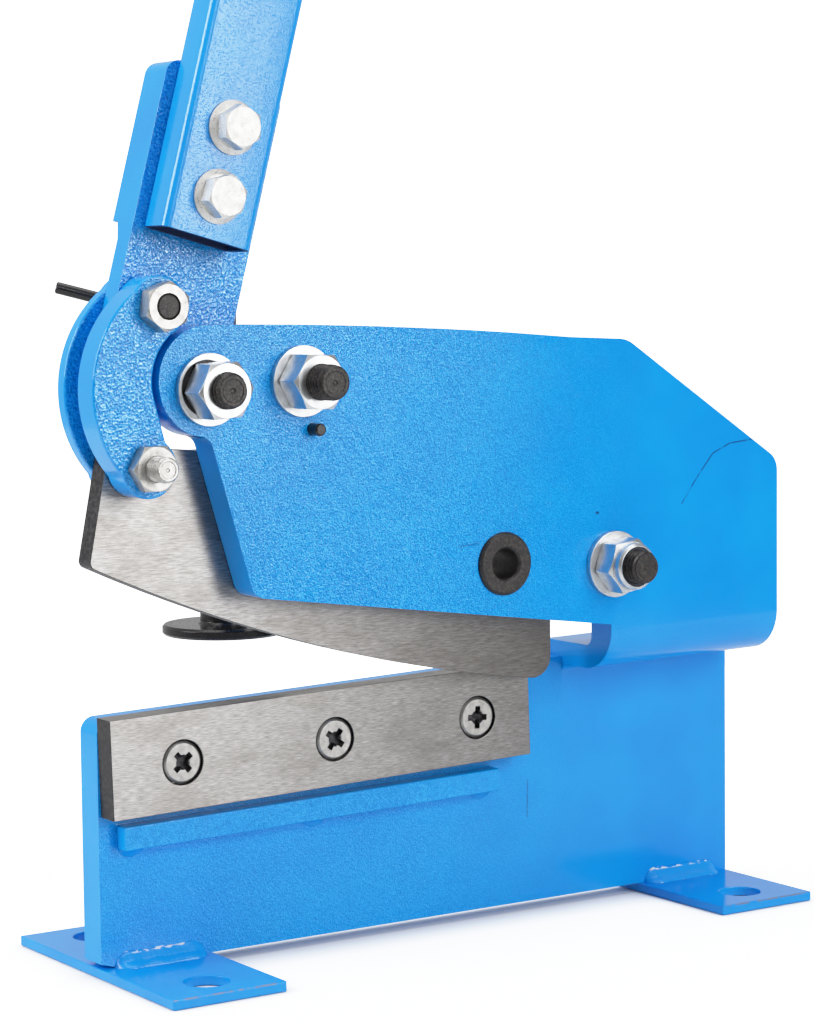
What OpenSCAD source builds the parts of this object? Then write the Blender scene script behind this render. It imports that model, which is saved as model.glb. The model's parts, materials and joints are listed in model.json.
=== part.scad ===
// Hand-lever bench shear: a joggled frame plate on two feet, a fixed lower blade,
// a pivoted upper blade driven by a lever through a pair of crescent links,
// and a screw hold-down behind the blades.
// X runs along the frame, -Y faces the user, Z is up, and the floor is z = 0.
// Distances named _x are taken from the frame's left end, and _z from the floor.

/* [Base] */
// Length of the frame along X
base_len = 318; // [312:1:340]
// Thickness of the frame plate
plate_t = 14; // [12:0.5:16]
// Height of the base's top edge at the left end
base_top_z = 102.5; // [98:0.5:103]
// Corner radius at the base's top left
base_corner_r = 6; // [2:0.5:10]
// Length of the weld relief under the base's left corner
relief_len = 8; // [4:1:14]
// Height of the weld relief under the base's left corner
relief_h = 2; // [1:0.5:4]
// Width of a foot along X
foot_w = 50; // [44:1:60]
// Depth of a foot along Y
foot_d = 130; // [120:1:150]
// Thickness of a foot
foot_t = 4; // [3:0.5:6]
// Diameter of a foot's anchor hole
foot_hole_d = 18; // [12:0.5:20]
// Distance between the anchor holes along X
foot_hole_dx = 268; // [264:1:272]
// Distance between the anchor holes along Y
foot_hole_dy = 93; // [88:1:100]
// Leg of the fillet weld between base and foot
weld_leg = 7; // [4:0.5:9]
// Length of one foot weld
weld_len = 41; // [30:1:43]
// Distance of a foot weld from the frame's end
weld_inset = 6; // [4:0.5:7]
// Thickness of a foot weld's thin edge
weld_toe = 0.2; // [0.1:0.05:0.4]

/* [Upper plate] */
// Underside of the joggle at the throat
joggle_z = 106; // [104:0.5:107]
// Thickness of the pressed joggle
joggle_t = 10; // [9:0.5:13]
// Slope of the joggle
joggle_slope = 1; // [0.5:0.1:1.5]
// Outer radius of the bend at the upper plate
bend_out_r = 18.5; // [14:0.5:20]
// Inner radius of the bend at the upper plate
bend_in_r = 4; // [2:0.5:6]
// Radius of the inside corner at the base
base_bend_r = 4; // [2:0.5:6]
// Radius of the joggle's rear edge
joggle_back_r = 3; // [2:0.5:5]
// Left end of the joggle, where the throat stops
throat_x = 226; // [223:0.5:230]
// Highest point of the pivot boss
boss_top_z = 256.7; // [255:0.1:260]
// Lowest point of the pivot boss
boss_low_z = 213.8; // [212:0.1:214.5]
// Left side of the pivot boss
boss_x = 11; // [10:0.5:12]
// Rounding of the pivot boss
boss_r = 21; // [18:0.5:21.4]
// Where the plate's left edge meets the boss
neck_x = 32.8; // [31:0.1:36]
// Rounding of that inside corner
neck_r = 5; // [2:0.5:8]
// Lower left corner of the upper plate
upper_low_x = 51.5; // [48:0.5:56]
// Height of that corner
upper_low_z = 150.5; // [146:0.5:154]
// Rounding of that corner
upper_low_r = 7; // [3:0.5:10]
// Top right corner of the upper plate
upper_top_x = 235; // [220:1:245]
// Height of the top right corner
upper_top_z = 246.8; // [240:0.2:252]
// Rounding of the top right corner
upper_top_r = 14; // [4:0.5:16]
// How far the top edge bows up
upper_bow = 2.1; // [0.5:0.1:3]
// Height where the sloped corner meets the right edge
upper_right_z = 192.5; // [180:0.5:205]
// Rounding of that corner
upper_right_r = 9; // [4:0.5:16]

/* [Lower blade] */
// Length of the lower blade
lower_blade_len = 200; // [190:1:210]
// Height of the lower blade
lower_blade_h = 39.5; // [36:0.5:41]
// Thickness of the lower blade
lower_blade_t = 11; // [9:0.5:13]
// Slope of the lower blade
blade_slope = 1.7; // [1:0.1:2.5]
// Height of the lower blade's top left corner
lower_blade_z = 104; // [103:0.5:106]
// Distance of the first screw from the blade's end
blade_screw_x = 31.5; // [25:0.5:36]
// Distance of the screws below the blade's top edge
blade_screw_below = 20.3; // [18:0.1:21]
// Distance between the blade screws
blade_screw_step = 70.8; // [60:0.2:74]
// Thread diameter of the blade screws
blade_screw_d = 8; // [6:0.5:10]
// Head diameter of the blade screws
blade_screw_head_d = 17; // [14:0.2:18]
// Head height of the blade screws
blade_screw_head_h = 5; // [3:0.2:6]
// How deep the blade screws reach into the base
blade_screw_bite = 9; // [6:0.5:10]
// Gap around the head of a blade screw
blade_screw_play = 0.6; // [0.3:0.1:1]
// Gap at the end of a blade screw
blade_screw_end_gap = 0.5; // [0.3:0.1:1]
// Length of the cross recess in a blade screw
cross_len = 9.4; // [7:0.2:11]
// Width of the cross recess
cross_w = 2.4; // [1.6:0.2:3]
// Depth of the cross recess
cross_depth = 3; // [2:0.2:3.6]
// Radius of the cross recess's hollow centre
cross_mouth_r = 3.1; // [2:0.1:3.5]
// Turn of the cross recess
cross_turn = 8; // [0:1:45]
// Left end of the ledge bar
ledge_x = 6.5; // [4:0.5:14]
// Length of the ledge bar
ledge_len = 180; // [160:1:190]
// Slope of the ledge bar
ledge_slope = 1.4; // [1:0.1:2.5]
// Height of the ledge bar
ledge_h = 9.5; // [7:0.5:12]
// How far the ledge stands out of the base
ledge_t = 7; // [5:0.5:9]
// Gap between lower blade and ledge
ledge_gap = 4; // [2:0.2:5]
// Radius of the weld beads under the ledge
ledge_weld_r = 5; // [3:0.2:6]
// Length of a weld bead under the ledge
ledge_weld_len = 12; // [8:1:20]
// Number of weld beads under the ledge
ledge_weld_n = 3; // [2:1:5]

/* [Upper blade] */
// Thickness of the upper blade
blade_t = 10; // [8:0.5:12]
// Running gap between the two blades
blade_gap = 0.2; // [0.1:0.05:0.3]
// Left end of the cutting edge, left of the frame's end
blade_tip_x = -12.5; // [-14:0.5:-11]
// Height of the cutting edge's left end
blade_tip_z = 165.5; // [163:0.5:168]
// Right end of the cutting edge
blade_heel_x = 204.5; // [202:0.5:207]
// Height of the cutting edge's right end
blade_heel_z = 103.6; // [102:0.2:105]
// How far the cutting edge bows down
blade_bow = 8.9; // [8:0.1:11]
// Rounding of the cutting edge's right end
blade_heel_r = 9; // [5:0.5:11]
// Left end of the blade's top edge
blade_top_x = -3.5; // [-5:0.5:-2]
// Height of the top edge's left end
blade_top_z = 211; // [210:0.2:211.5]
// Slope of the top edge
blade_top_slope = 4.6; // [4:0.1:6]
// Where the top edge starts to fall to the pivot
blade_hip_x = 119; // [112:1:130]
// Half height of the pivot ear
blade_ear_r = 20; // [18.5:0.5:21]
// Corner rounding of the pivot ear
blade_ear_corner_r = 18; // [12:0.5:18]
// Small corner rounding
blade_corner_r = 3; // [1:0.5:5]
// Tilt of the pivot slot
slot_tilt = 17; // [16:0.5:18]
// Play of the pivot along its slot
slot_play_along = 8.5; // [8.5:0.1:9]
// Play of the pivot across its slot
slot_play_across = 1.1; // [1.1:0.1:1.5]
// How far the slot lies below the pivot
slot_drop = 0.65; // [0.6:0.05:0.7]

/* [Pivots] */
// Lever pivot from the left end
lever_pivot_x = 32; // [31.5:0.1:32.5]
// Lever pivot height
lever_pivot_z = 232; // [231.5:0.1:232.5]
// Upper link pin from the left end
link_top_x = 12.5; // [12:0.1:13]
// Upper link pin height
link_top_z = 264; // [263.5:0.1:264.5]
// Lower link pin from the left end
link_low_x = 7; // [6.5:0.1:7.5]
// Lower link pin height
link_low_z = 203; // [202.5:0.1:203.5]
// Blade pivot from the left end
blade_pivot_x = 227; // [226.5:0.1:227.5]
// Blade pivot height
blade_pivot_z = 152.3; // [151.8:0.1:152.8]
// Diameter of the frame bolts
big_bolt_d = 14; // [12:0.5:14]
// Diameter of the link and handle bolts
small_bolt_d = 10; // [8:0.5:10]
// Radial clearance of a running fit
run_fit = 0.05; // [0.02:0.01:0.1]
// Radial clearance of a bolt in a clamped hole
bolt_fit = 0.1; // [0.05:0.05:0.3]
// Side gap between sliding flat faces
side_gap = 0.3; // [0.2:0.05:0.4]

/* [Links] */
// Outer radius of a crescent link
link_out_r = 48.5; // [47:0.5:50]
// Gap between a link and the pivot boss
link_boss_gap = 1.7; // [1.5:0.1:2]
// Lean of the inner edge's straight lower part
link_in_lean = 15; // [13:0.5:17]
// Radius of a link's round ends
link_end_r = 11.8; // [11:0.1:12]
// Thickness of the front link
front_link_t = 13; // [8:0.5:14]
// Thickness of the rear link
rear_link_t = 6; // [5:0.5:7]

/* [Lever and handle] */
// Lean of the lever to the right of upright
lever_lean = 15; // [13:0.5:16]
// Lever width left of its pivot
lever_left = 38.8; // [38:0.2:42]
// Lever width right of its pivot
lever_right = 13.4; // [13:0.2:15]
// Lever length above its pivot
lever_up = 121; // [115:1:130]
// Lever length below its pivot
lever_down = 14.6; // [13:0.2:15]
// Height of the lever's sloped lower left corner
lever_hip = 15.5; // [13:0.5:17]
// Rounding of that corner
lever_hip_r = 11; // [8:0.5:14]
// Left end of the lever's lower edge, left of its pivot
lever_heel = 7; // [5:0.5:9]
// Rounding of the lever's heel
lever_heel_r = 12.6; // [10:0.2:13]
// Rounding of the lever's lower right corner
lever_toe_r = 13; // [10:0.2:13]
// Corner rounding at the lever's top
lever_top_r = 6; // [2:0.5:10]
// Thickness of the lever above its tongue
lever_t = 17; // [15:0.5:19]
// Where the lever steps down to its tongue
tongue_up = 56.5; // [55:0.5:60]
// How far the lever steps down there at once
lever_step = 4; // [3:0.5:5]
// Length of the slope below that step
lever_step_slope = 7; // [4:0.5:8]
// Width of the handle tube
handle_w = 39; // [34:0.5:42]
// Depth of the handle tube
handle_d = 18; // [15:0.5:22]
// Wall of the handle tube
handle_wall = 2; // [1.5:0.25:3]
// Corner radius of the handle tube
handle_r = 3.25; // [2.5:0.25:4]
// Inner corner radius of the handle tube
handle_in_r = 1.5; // [0.5:0.25:2]
// Length of the handle tube
handle_len = 480; // [400:5:560]
// Where the handle tube starts, above the lever pivot
handle_up = 55.2; // [50:0.2:58]
// Centre line of the handle, left of the lever pivot
handle_left = 15.4; // [14:0.2:17]
// First handle bolt, above the tube's lower end
handle_bolt_up = 16.5; // [14:0.5:18]
// Distance between the handle bolts
handle_bolt_step = 27; // [24:0.5:32]
// Flange diameter of the handle bolts
handle_flange_d = 21; // [18:0.5:22]
// Length of the grip
grip_len = 125; // [100:5:160]
// Wall of the grip
grip_wall = 3; // [2:0.5:4]
// Closed end of the grip
grip_cap = 5; // [3:0.5:8]
// Distance between the ribs of the grip
grip_rib_step = 10; // [8:1:14]
// Width of a rib of the grip
grip_rib_w = 5; // [3:0.5:7]
// Height of a rib of the grip
grip_rib_h = 1; // [0.5:0.25:2]

/* [Rod bush] */
// Bush from the left end
bush_x = 170.5; // [168:0.5:173]
// Bush height
bush_z = 156; // [154:0.5:158]
// Outer diameter of the bush
bush_d = 26; // [22:0.5:28]
// Diameter of the rod hole
rod_d = 12.5; // [10:0.25:14]
// Radial play of a rod in the upper blade's own hole
blade_hole_play = 0.25; // [0.1:0.05:0.5]
// How far the bush stands out of the plate
bush_proud = 2; // [1:0.25:3]

/* [Hold-down] */
// Hold-down screw from the left end
hold_x = 89; // [88:0.5:90]
// Hold-down screw behind the base's middle
hold_y = 47; // [46:0.5:48]
// Screw diameter
hold_d = 12; // [10:0.5:13]
// Thread pitch
hold_pitch = 1.75; // [1.5:0.25:2]
// Underside of the foot disc
hold_foot_z = 124.8; // [124:0.2:127]
// Diameter of the foot disc
hold_foot_d = 52; // [46:1:54]
// Thickness of the foot disc
hold_foot_t = 4.5; // [3.5:0.25:6]
// Diameter of the swivel boss on the foot
hold_boss_d = 20; // [18:0.5:24]
// Height of the swivel boss on the foot
hold_boss_h = 9; // [7:0.5:12]
// Diameter of the screw's swivel pin
hold_pin_d = 8; // [6:0.5:9]
// How deep the swivel pin reaches below the foot disc's top
hold_pin_bite = 1; // [0.5:0.25:2]
// Plain length under the screw's head
hold_plain_len = 6; // [3:0.5:12]
// Diameter of the screw's head
hold_head_d = 14.5; // [13.5:0.5:16]
// Lower end of the screw's head
hold_head_z = 243; // [241:0.5:245]
// Height of the screw's head
hold_head_h = 20; // [18:0.5:24]
// Diameter of the handle rod
hold_rod_d = 5; // [4:0.25:6]
// Reach of the handle rod from the screw's axis
hold_rod_reach = 67.5; // [60:0.5:68]
// Rise of the handle rod
hold_rod_rise = 15; // [12:0.5:18]
// Direction of the handle rod, turned from +X
hold_rod_turn = 153.3; // [140:0.5:170]

/* [Hold-down bracket] */
// Bracket bolt from the left end
bracket_bolt_x = 74; // [73:0.5:76]
// Bracket bolt height
bracket_bolt_z = 234; // [232:0.5:236]
// Locating pin from the left end
bracket_pin_x = 79; // [78:0.5:80]
// Locating pin height
bracket_pin_z = 215; // [214:0.5:216]
// Diameter of the locating pin
bracket_pin_d = 5; // [4:0.5:6]
// How far the pin stands out in front
bracket_pin_proud = 6.5; // [3:0.5:8]
// Left side of the bracket
bracket_x = 60; // [58:0.5:62]
// Right side of the bracket
bracket_right_x = 108; // [106:0.5:110]
// Top of the bracket
bracket_top_z = 247; // [247:0.5:248]
// Underside of the bracket's arm
bracket_arm_z = 186; // [182:0.5:190]
// Thickness of the bracket's arm
bracket_arm_t = 16; // [12:0.5:18]
// Width of the bracket's arm
bracket_arm_w = 34; // [30:1:36]
// Thickness of the bracket's back plate
bracket_t = 8; // [6:0.5:10]
// Corner rounding of the bracket
bracket_r = 6; // [2:0.5:8]
// Gap between blade and bracket where the blade stops
stop_gap = 0.4; // [0.3:0.05:0.6]

/* [Fasteners] */
// Width across flats of the frame nuts
big_nut_af = 21; // [19:0.5:22]
// Height of the frame nuts
big_nut_h = 12.8; // [10:0.2:14]
// Head height of the frame bolts
big_head_h = 8.8; // [7:0.2:10]
// Diameter of the frame washers
big_washer_d = 28; // [24:0.5:30]
// Thickness of the frame washers
big_washer_t = 2.5; // [2:0.25:3.5]
// Diameter of the large washer behind the blade
rear_washer_d = 44; // [38:0.5:46]
// Height of the lock nut's hexagon
lock_nut_h = 10.5; // [9:0.5:12]
// Height of the lock nut's collar
lock_collar_h = 4; // [3:0.25:5]
// Diameter of the lock nut's collar
lock_collar_d = 19.5; // [18.5:0.1:20]
// Wall of the lock nut's collar
lock_collar_wall = 1.4; // [1:0.1:1.6]
// How far the insert lies below the collar's edge
lock_insert_below = 0.6; // [0.2:0.1:1]
// Width across flats of the link nuts
small_nut_af = 17; // [15:0.5:18]
// Height of the link nuts
small_nut_h = 7.2; // [6:0.2:10]
// Height of the lower link nut
thin_nut_h = 6; // [5:0.2:8]
// Head height of the link bolts
small_head_h = 6.4; // [5:0.2:8]
// Width across flats of the handle bolts
flange_head_af = 15; // [13:0.5:16]
// Height of a handle bolt's flange
flange_t = 2; // [1.5:0.25:2.5]
// Thickness of a handle bolt's flange at its rim
flange_rim_t = 0.8; // [0.5:0.1:1.2]
// Width of the flange's sloped rim
flange_slope_w = 2.2; // [1:0.2:2.6]
// Head height of a handle bolt above its flange
flange_head_h = 6.5; // [5:0.25:8]
// Chamfer on round rims
rim = 1; // [0.5:0.1:1.4]
// Thread pitch of the frame bolts
big_pitch = 2; // [1.5:0.25:2.5]
// End chamfer of the frame bolts
big_chamfer = 1.2; // [0.6:0.1:1.6]
// End chamfer of the link and handle bolts
small_chamfer = 0.8; // [0.5:0.1:1.2]
// End chamfer of the pin and the handle rod
pin_chamfer = 0.6; // [0.3:0.1:1]
// Thread pitch of the link and handle bolts
small_pitch = 1.5; // [1:0.25:2]
// How far the lever pivot bolt stands out of its nut
lever_bolt_out = 4.5; // [2:0.5:8]
// How far the bracket bolt stands out of its nut
bracket_bolt_out = 10; // [6:0.5:14]
// How far the blade pivot bolt stands out of its lock nut
blade_bolt_out = 6; // [2:0.5:8]
// How far the lower link bolt stands out of its nut
link_bolt_out = 8.5; // [4:0.5:10]
// How far the handle bolts stand out of their nuts
handle_bolt_out = 3; // [2:0.5:5]

/* [Hidden] */
$fn = 96;
arc_steps = 12;
top_bow_steps = 12;
edge_bow_steps = 16;
eps = 0.01;
overlap = 1;
// How far the bent part of the plate lies below its flat parts
bend_dip = 0.02;
// How far the straight sides of the blade's slot lie inside its round ends
slot_waist = 0.05;

// Shape of a thread ridge, in shares of its pitch
thread_depth = 0.55;
thread_flank = 0.4;
thread_root = 0.1;
// Diameter of a hexagon's chamfer circle, in shares of the width across flats
hex_chamfer_d = 0.98;

left_x = -base_len / 2;
right_x = base_len / 2;

// Planes along Y, from the base towards the user
base_back = plate_t / 2;
base_front = -plate_t / 2;
lower_blade_front = base_front - lower_blade_t;
blade_back = lower_blade_front - blade_gap;
blade_front = blade_back - blade_t;
upper_back = blade_front - side_gap;
upper_front = upper_back - plate_t;
front_link_front = upper_back - front_link_t;
handle_front = blade_front - handle_d;
lever_back = blade_front + lever_t;
washer_front = upper_front - big_washer_t;

// Planes behind the upper blade
rear_seat = blade_back + side_gap;
rear_link_back = rear_seat + rear_link_t;
rear_washer_back = rear_seat + big_washer_t;
bracket_back = rear_seat + bracket_t;

// Points in the X and Z plane
lever_pivot = [left_x + lever_pivot_x, lever_pivot_z];
link_top = [left_x + link_top_x, link_top_z];
link_low = [left_x + link_low_x, link_low_z];
blade_pivot = [left_x + blade_pivot_x, blade_pivot_z];
bush_at = [left_x + bush_x, bush_z];
bracket_bolt_at = [left_x + bracket_bolt_x, bracket_bolt_z];
bracket_pin_at = [left_x + bracket_pin_x, bracket_pin_z];
lower_blade_at = [left_x, lower_blade_z];
throat_at_x = left_x + throat_x;
hold_at = [left_x + hold_x, hold_y];

big_bolt_r = big_bolt_d / 2;
small_bolt_r = small_bolt_d / 2;
big_hole_r = big_bolt_r + bolt_fit;
small_hole_r = small_bolt_r + bolt_fit;
rod_r = rod_d / 2;
bush_r = bush_d / 2;
joggle_top_z = joggle_z + joggle_t;
bend_end_z = joggle_z + bend_out_r + 2 * overlap;
blade_screw_pocket_r = blade_screw_head_d / 2 + blade_screw_play;
collar_r = lock_collar_d / 2;
insert_r = collar_r - lock_collar_wall;
handle_end = handle_up + handle_len;
hold_foot_top = hold_foot_z + hold_foot_t;
hold_boss_top = hold_foot_top + hold_boss_h;
hold_pin_z = hold_foot_top - hold_pin_bite;
hold_rod_z = hold_head_z + hold_head_h / 2;

// Points of the lever lie along and across its leaning centre line
function on_lever(across, along) = lever_pivot
    + along * [sin(lever_lean), cos(lever_lean)]
    + across * [cos(lever_lean), -sin(lever_lean)];
handle_bolt_alongs = [for (i = [0:1]) handle_up + handle_bolt_up + i * handle_bolt_step];
handle_bolt_ats = [for (u = handle_bolt_alongs) on_lever(-handle_left, u)];

// Points of the lower blade lie along and below its sloped top edge
function on_lower_blade(along, below) = lower_blade_at
    + along * [cos(blade_slope), sin(blade_slope)]
    + below * [sin(blade_slope), -cos(blade_slope)];
blade_screw_ats = [for (i = [0:2])
    on_lower_blade(blade_screw_x + i * blade_screw_step, blade_screw_below)];

// Height of the upper blade's top edge at a distance from the left end
function blade_top_at(x) = blade_top_z - (x - blade_top_x) * tan(blade_top_slope);

// Outline helpers
function unit(v) = v / norm(v);
function turn_between(a, b) = (b - a + 540) % 360 - 180;
function corner(p, q, s, r) =
    r == 0 ? [q] :
    let (u = unit(p - q), v = unit(s - q))
    let (half = acos(u * v) / 2, c = q + unit(u + v) * r / sin(half))
    let (from = q + u * r / tan(half) - c, to = q + v * r / tan(half) - c)
    let (a = atan2(from.y, from.x), turn = turn_between(a, atan2(to.y, to.x)))
    let (n = max(2, ceil(arc_steps * abs(turn) / 90)))
    [for (i = [0:n]) c + r * [cos(a + turn * i / n), sin(a + turn * i / n)]];
// An outline from points [x, z, corner radius]
function rounded(pts) = let (n = len(pts)) [
    for (i = [0:n - 1])
        let (p = pts[(i + n - 1) % n], q = pts[i], s = pts[(i + 1) % n])
        each corner([p.x, p.y], [q.x, q.y], [s.x, s.y], q[2])
];
// Points of a bowed edge between two points, without its ends
function bowed(p, q, sag, n) = let (d = q - p, side = unit([-d.y, d.x]))
    [for (i = [1:n - 1]) let (t = i / n, b = p + t * d + 4 * sag * t * (1 - t) * side) [b.x, b.y, 0]];
function at_r(p, r) = [p.x, p.y, r];

// Extrudes an X and Z outline between two planes along Y
module slab(y0, y1) {
    translate([0, y1, 0])
        rotate([90, 0, 0])
            linear_extrude(y1 - y0)
                children();
}
// Turns what points up so that it points at the user, or away
module to_front(at, y) {
    translate([at.x, y, at.y])
        rotate([90, 0, 0])
            children();
}
module to_back(at, y) {
    translate([at.x, y, at.y])
        rotate([-90, 0, 0])
            children();
}
module hole_y(at, y0, y1, r) {
    to_front(at, y1 + eps)
        cylinder(h = y1 - y0 + 2 * eps, r = r);
}
// Extrudes a Y and Z outline along X
module rail(x0, x1) {
    translate([x0, 0, 0])
        rotate([90, 0, 90])
            linear_extrude(x1 - x0)
                children();
}

// Fastener helpers, all standing on z = 0
module hex_body(af, h, chamfer_top, chamfer_low) {
    tip_r = af / 2 / cos(30);
    c = tip_r - af / 2 * hex_chamfer_d;
    fall = c * tan(30);
    intersection() {
        cylinder(h = h, r = tip_r, $fn = 6);
        rotate_extrude()
            polygon([
                [0, 0], [chamfer_low ? tip_r - c : tip_r, 0], [tip_r, chamfer_low ? fall : eps],
                [tip_r, chamfer_top ? h - fall : h - eps], [chamfer_top ? tip_r - c : tip_r, h], [0, h]
            ]);
    }
}
module nut(af, h, bore_r) {
    difference() {
        hex_body(af, h, true, true);
        translate([0, 0, -eps])
            cylinder(h = h + 2 * eps, r = bore_r);
    }
}
module washer(d, t, bore_r) {
    difference() {
        cylinder(h = t, d = d);
        translate([0, 0, -eps])
            cylinder(h = t + 2 * eps, r = bore_r);
    }
}
// A round shank of length len, whose last part carries ring-shaped thread ridges
module shank(r, len, end_chamfer, thread_len = 0, pitch = 1) {
    depth = thread_depth * pitch;
    root_from = thread_flank;
    root_to = thread_flank + thread_root;
    crest_from = 2 * thread_flank + thread_root;
    ridges = floor((thread_len - end_chamfer) / pitch);
    start = len - end_chamfer - ridges * pitch;
    rotate_extrude()
        polygon([
            [0, 0], [r, 0],
            for (i = [0:1:ridges - 1])
                each [
                    [r, start + i * pitch], [r - depth, start + (i + root_from) * pitch],
                    [r - depth, start + (i + root_to) * pitch], [r, start + (i + crest_from) * pitch]
                ],
            [r, len - end_chamfer], [r - end_chamfer, len], [0, len]
        ]);
}
// A hexagon head below z = 0 and its shank above
module hex_bolt(af, head_h, r, len, end_chamfer, thread_len, pitch) {
    rotate([180, 0, 0])
        hex_body(af, head_h, true, false);
    shank(r, len, end_chamfer, thread_len, pitch);
}

// Frame
module upper_outline() {
    top_left = [left_x + boss_x, boss_top_z];
    top_right = [left_x + upper_top_x, upper_top_z];
    polygon(rounded([
        at_r(top_left, boss_r),
        each bowed(top_left + [boss_r, 0], top_right - [upper_top_r, 0], upper_bow, top_bow_steps),
        at_r(top_right, upper_top_r),
        [right_x, upper_right_z, upper_right_r],
        [right_x, bend_end_z, 0],
        [throat_at_x, bend_end_z, 0],
        [left_x + upper_low_x, upper_low_z, upper_low_r],
        [left_x + neck_x, boss_low_z, neck_r],
        [left_x + boss_x, boss_low_z, boss_r]
    ]));
}
module base_outline() {
    polygon(rounded([
        [left_x, foot_t + relief_h, 0],
        [left_x + relief_len, foot_t, 0],
        [throat_at_x, foot_t, 0],
        [throat_at_x, base_top_z + throat_x * tan(blade_slope), 0],
        [left_x, base_top_z, base_corner_r]
    ]));
}
module left_of_throat() {
    translate([2 * left_x, 0])
        square([throat_at_x - 2 * left_x, 2 * boss_top_z]);
}
// Section of the plate in Y and Z, with its S-bend
module bend_outline() {
    polygon(rounded([
        [upper_front + bend_dip, 2 * boss_top_z, 0],
        [upper_front + bend_dip, joggle_z, bend_out_r],
        [base_front + bend_dip, joggle_z, base_bend_r],
        [base_front + bend_dip, -boss_top_z, 0],
        [base_back - bend_dip, -boss_top_z, 0],
        [base_back - bend_dip, joggle_top_z, joggle_back_r],
        [upper_back - bend_dip, joggle_top_z, bend_in_r],
        [upper_back - bend_dip, 2 * boss_top_z, 0]
    ]));
}
module bent_part() {
    intersection() {
        translate([throat_at_x, 0, joggle_z])
            rotate([0, -joggle_slope, 0])
                translate([0, 0, -joggle_z])
                    rail(left_x, base_len)
                        bend_outline();
        slab(upper_front - overlap, base_back + overlap)
            difference() {
                union() {
                    upper_outline();
                    translate([throat_at_x, foot_t])
                        square([right_x - throat_at_x, bend_end_z - foot_t]);
                }
                left_of_throat();
            }
    }
}
module frame_plate() {
    color("#1f86d8")
        difference() {
            union() {
                slab(base_front, base_back)
                    base_outline();
                slab(upper_front, upper_back)
                    intersection() {
                        upper_outline();
                        left_of_throat();
                    }
                bent_part();
            }
            for (at = [lever_pivot, bracket_bolt_at, blade_pivot])
                hole_y(at, upper_front, upper_back, big_hole_r);
            hole_y(bracket_pin_at, upper_front, upper_back, bracket_pin_d / 2 + bolt_fit);
            hole_y(bush_at, upper_front, upper_back, bush_r + bolt_fit);
            for (at = blade_screw_ats)
                hole_y(at, base_front, base_front + blade_screw_bite, blade_screw_d / 2 + bolt_fit);
        }
}
module foot(x0) {
    color("#1f86d8")
        difference() {
            translate([x0, -foot_d / 2, 0])
                cube([foot_w, foot_d, foot_t]);
            for (x = [-foot_hole_dx / 2, foot_hole_dx / 2], y = [-foot_hole_dy / 2, foot_hole_dy / 2])
                translate([x, y, -eps])
                    cylinder(h = foot_t + 2 * eps, d = foot_hole_d);
        }
}
module left_foot() {
    foot(left_x);
}
module right_foot() {
    foot(right_x - foot_w);
}
module foot_welds() {
    color("#2a8fe0")
        for (x0 = [left_x + weld_inset, right_x - weld_inset - weld_len], side = [-1, 1])
            rail(x0, x0 + weld_len)
                translate([side * plate_t / 2, foot_t])
                    scale([side, 1])
                        difference() {
                            square(weld_leg);
                            translate([weld_leg, weld_leg])
                                circle(weld_leg - weld_toe);
                        }
}
module on_ledge() {
    top_left = on_lower_blade(ledge_x, lower_blade_h + ledge_gap);
    translate([top_left.x, base_front, top_left.y])
        rotate([0, -ledge_slope, 0])
            children();
}
module blade_ledge() {
    color("#1f86d8")
        on_ledge()
            translate([0, -ledge_t, -ledge_h])
                cube([ledge_len, ledge_t, ledge_h]);
}
module ledge_welds() {
    step = (ledge_len - ledge_weld_len) / (ledge_weld_n - 1);
    color("#2a8fe0")
        for (i = [0:ledge_weld_n - 1])
            on_ledge()
                translate([0, 0, -ledge_h])
                    rail(i * step, i * step + ledge_weld_len)
                        intersection() {
                            circle(ledge_weld_r);
                            translate([-ledge_weld_r, -ledge_weld_r])
                                square(ledge_weld_r);
                        }
}

// Lower blade
module lower_blade() {
    color("#a39b92")
        difference() {
            slab(lower_blade_front, base_front)
                translate(lower_blade_at)
                    rotate(blade_slope)
                        translate([0, -lower_blade_h])
                            square([lower_blade_len, lower_blade_h]);
            for (at = blade_screw_ats) {
                hole_y(at, lower_blade_front, base_front, blade_screw_d / 2 + bolt_fit);
                hole_y(at, lower_blade_front, lower_blade_front + blade_screw_head_h, blade_screw_pocket_r);
            }
        }
}
module lower_blade_screws() {
    len = lower_blade_t - blade_screw_head_h + blade_screw_bite - blade_screw_end_gap;
    color("#8d8a84")
        for (at = blade_screw_ats)
            to_back(at, lower_blade_front + blade_screw_head_h)
                difference() {
                    union() {
                        rotate([180, 0, 0])
                            rotate_extrude()
                                polygon([
                                    [0, 0], [blade_screw_head_d / 2, 0],
                                    [blade_screw_head_d / 2, blade_screw_head_h - rim],
                                    [blade_screw_head_d / 2 - rim, blade_screw_head_h],
                                    [0, blade_screw_head_h]
                                ]);
                        cylinder(h = len, d = blade_screw_d);
                    }
                    for (a = [0, 90])
                        rotate(a + cross_turn)
                            translate([-cross_len / 2, -cross_w / 2, -blade_screw_head_h - eps])
                                cube([cross_len, cross_w, cross_depth]);
                    translate([0, 0, -blade_screw_head_h - eps])
                        cylinder(h = cross_depth, r1 = cross_mouth_r, r2 = cross_w / 2);
                }
}
module rod_bush() {
    len = plate_t + bush_proud;
    color("#1b1b1d")
        to_front(bush_at, upper_back)
            rotate_extrude()
                polygon([
                    [rod_r, 0], [bush_r, 0], [bush_r, len - rim], [bush_r - rim, len],
                    [rod_r + rim, len], [rod_r, len - rim]
                ]);
}

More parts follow.
